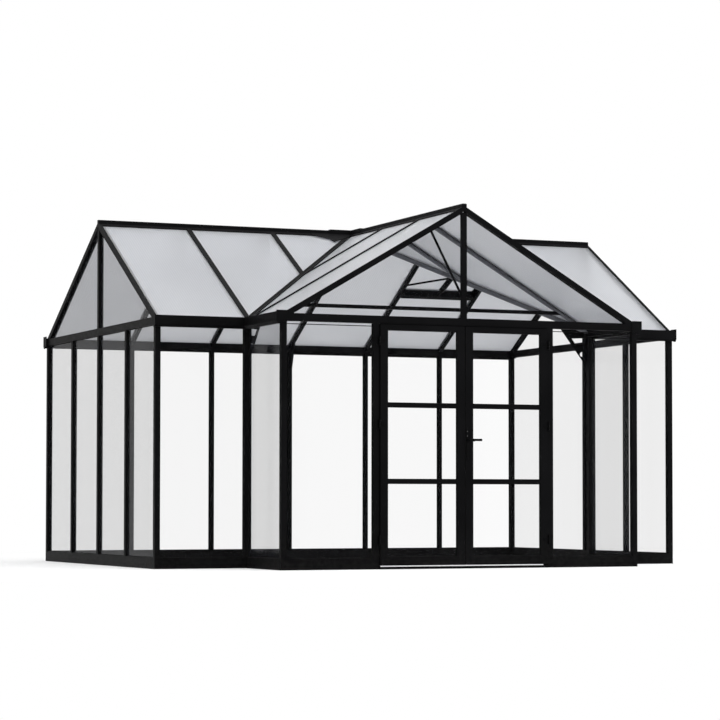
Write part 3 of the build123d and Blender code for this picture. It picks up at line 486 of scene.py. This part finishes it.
def ribbed_sheet(name, across, skin, rib):
    """Translucent sheet with ribs that repeat along one axis."""
    material, tree, surface, place = plain_surface(name, 0.5, 0.36)
    surface.inputs["Transmission Weight"].default_value = 0.8
    surface.inputs["IOR"].default_value = 1.3
    wave = grown_node(
        tree, "ShaderNodeTexWave", wave_type="BANDS", bands_direction=across, wave_profile="SIN",
    )
    wave.inputs["Scale"].default_value = rib_waves
    tree.links.new(place, wave.inputs["Vector"])
    ribs = wave.outputs["Fac"]
    clouds = stretched(tree, noise_at(tree, place, 1.3), 0.0, 0.3)
    share = worked(tree, "ADD", worked(tree, "MULTIPLY", ribs, 0.7), clouds)
    tree.links.new(blended(tree, share, skin, rib), surface.inputs["Base Color"])
    raised(tree, surface, ribs, 0.0003)
    return material


# A Wave texture of scale 1 repeats every 2 pi / 20 of a metre.
rib_pitch = 0.020
rib_waves = 2 * math.pi / rib_pitch / 20
skin_tone = (0.75, 0.762, 0.790)
rib_tone = (0.63, 0.642, 0.672)
hall_sheet = ribbed_sheet("twin_wall_sheet_hall", "X", skin_tone, rib_tone)
porch_sheet = ribbed_sheet("twin_wall_sheet_porch", "Y", skin_tone, rib_tone)
for sheet in ("roof_sheets_front", "roof_sheets_back", "roof_vent_panels"):
    finish_node(sheet, hall_sheet)
finish_node("roof_sheets_porch", porch_sheet)


# Floor.
# A plain white floor, not part of the greenhouse, which keeps a soft shadow round its foot. It
# turns plain white between 3 m and 5.5 m out, so that its far edge doesn't show.

floor_reach = 60.0
floor_mesh = bpy.data.meshes.new("studio_floor")
corners = np.array([(-1, -1, 0), (1, -1, 0), (1, 1, 0), (-1, 1, 0)], float)
corners *= (floor_reach, floor_reach, 1)
floor_mesh.from_pydata(corners.tolist(), [], [(0, 1, 2, 3)])
studio_floor = bpy.data.objects.new("studio_floor", floor_mesh)
bpy.context.scene.collection.objects.link(studio_floor)


def seen_directly(tree):
    """1 for a ray that the camera, a reflection or a clear surface sends, and 0 for any other."""
    path = grown_node(tree, "ShaderNodeLightPath")
    total = path.outputs["Is Camera Ray"]
    for output in ("Is Glossy Ray", "Is Transmission Ray"):
        total = worked(tree, "MAXIMUM", total, path.outputs[output])
    return total


floor_paint = bpy.data.materials.new("studio_floor")
floor_paint.use_nodes = True
floor_tree = floor_paint.node_tree
floor_tree.nodes.clear()
matt = grown_node(floor_tree, "ShaderNodeBsdfDiffuse")
matt.inputs["Color"].default_value = (0.7, 0.7, 0.7, 1)
shaded = grown_node(floor_tree, "ShaderNodeBsdfDiffuse")
shaded.inputs["Color"].default_value = (0.85, 0.85, 0.85, 1)
lifted = grown_node(floor_tree, "ShaderNodeEmission")
lifted.inputs["Strength"].default_value = 0.16
both = grown_node(floor_tree, "ShaderNodeAddShader")
plain_white = grown_node(floor_tree, "ShaderNodeEmission")
far_off = grown_node(floor_tree, "ShaderNodeMixShader")
distance = grown_node(floor_tree, "ShaderNodeVectorMath", operation="LENGTH")
floor_tree.links.new(grown_node(floor_tree, "ShaderNodeTexCoord").outputs["Object"], distance.inputs[0])
fade = stretched(floor_tree, distance.outputs["Value"], 0.0, 1.0, 3.0, 5.5)
pick = grown_node(floor_tree, "ShaderNodeMixShader")
out = grown_node(floor_tree, "ShaderNodeOutputMaterial")
floor_tree.links.new(shaded.outputs["BSDF"], both.inputs[0])
floor_tree.links.new(lifted.outputs["Emission"], both.inputs[1])
floor_tree.links.new(seen_directly(floor_tree), pick.inputs["Fac"])
floor_tree.links.new(matt.outputs["BSDF"], pick.inputs[1])
floor_tree.links.new(fade, far_off.inputs["Fac"])
floor_tree.links.new(both.outputs["Shader"], far_off.inputs[1])
floor_tree.links.new(plain_white.outputs["Emission"], far_off.inputs[2])
floor_tree.links.new(far_off.outputs["Shader"], pick.inputs[2])
floor_tree.links.new(pick.outputs["Shader"], out.inputs["Surface"])
floor_mesh.materials.append(floor_paint)


# Light.
# An even white surround, which is plain white to the camera, and two wide soft lamps, one from
# above and one from the right.

world = bpy.data.worlds.new("studio")
bpy.context.scene.world = world
world.use_nodes = True
sky = world.node_tree
sky.nodes.clear()
fill = grown_node(sky, "ShaderNodeBackground")
fill.inputs["Strength"].default_value = 0.72
white = grown_node(sky, "ShaderNodeBackground")
white.inputs["Color"].default_value = (1, 1, 1, 1)
fill.inputs["Color"].default_value = (1, 1, 1, 1)
pick = grown_node(sky, "ShaderNodeMixShader")
out = grown_node(sky, "ShaderNodeOutputWorld")
sky.links.new(seen_directly(sky), pick.inputs["Fac"])
sky.links.new(fill.outputs["Background"], pick.inputs[1])
sky.links.new(white.outputs["Background"], pick.inputs[2])
sky.links.new(pick.outputs["Shader"], out.inputs["Surface"])

for name, spot, turn, width, watts in (
    ("lamp_above", (-1.0, -1.5, 7.5), (0, 0, 0), 9.0, 420.0),
    ("lamp_right", (9.0, -5.0, 6.0), (math.radians(55), 0, math.radians(61)), 6.0, 420.0),
):
    lamp = bpy.data.lights.new(name, "AREA")
    lamp.size = width
    lamp.energy = watts
    holder = bpy.data.objects.new(name, lamp)
    holder.location = spot
    holder.rotation_euler = turn
    bpy.context.scene.collection.objects.link(holder)


# Camera.
# It stands where the photograph was taken from, low and to the left of the porch. Panes seen one
# behind another pass Blender's limit of 8 clear faces and turned black, so the limit is raised.

camera = bpy.data.cameras.new("camera")
camera.sensor_width = 36.0
camera.lens = 128.587
camera.shift_x = -0.0603
camera.shift_y = 0.0594
camera.clip_end = 200.0
viewer = bpy.data.objects.new("camera", camera)
viewer.location = (-8.2148, -19.4248, 0.4931)
viewer.rotation_euler = (math.radians(92.2308), 0, math.radians(-23.6647))
bpy.context.scene.collection.objects.link(viewer)
bpy.context.scene.camera = viewer
bpy.context.scene.view_settings.view_transform = "Standard"
clear_face_limit = 32
bpy.context.scene.cycles.transparent_max_bounces = clear_face_limit
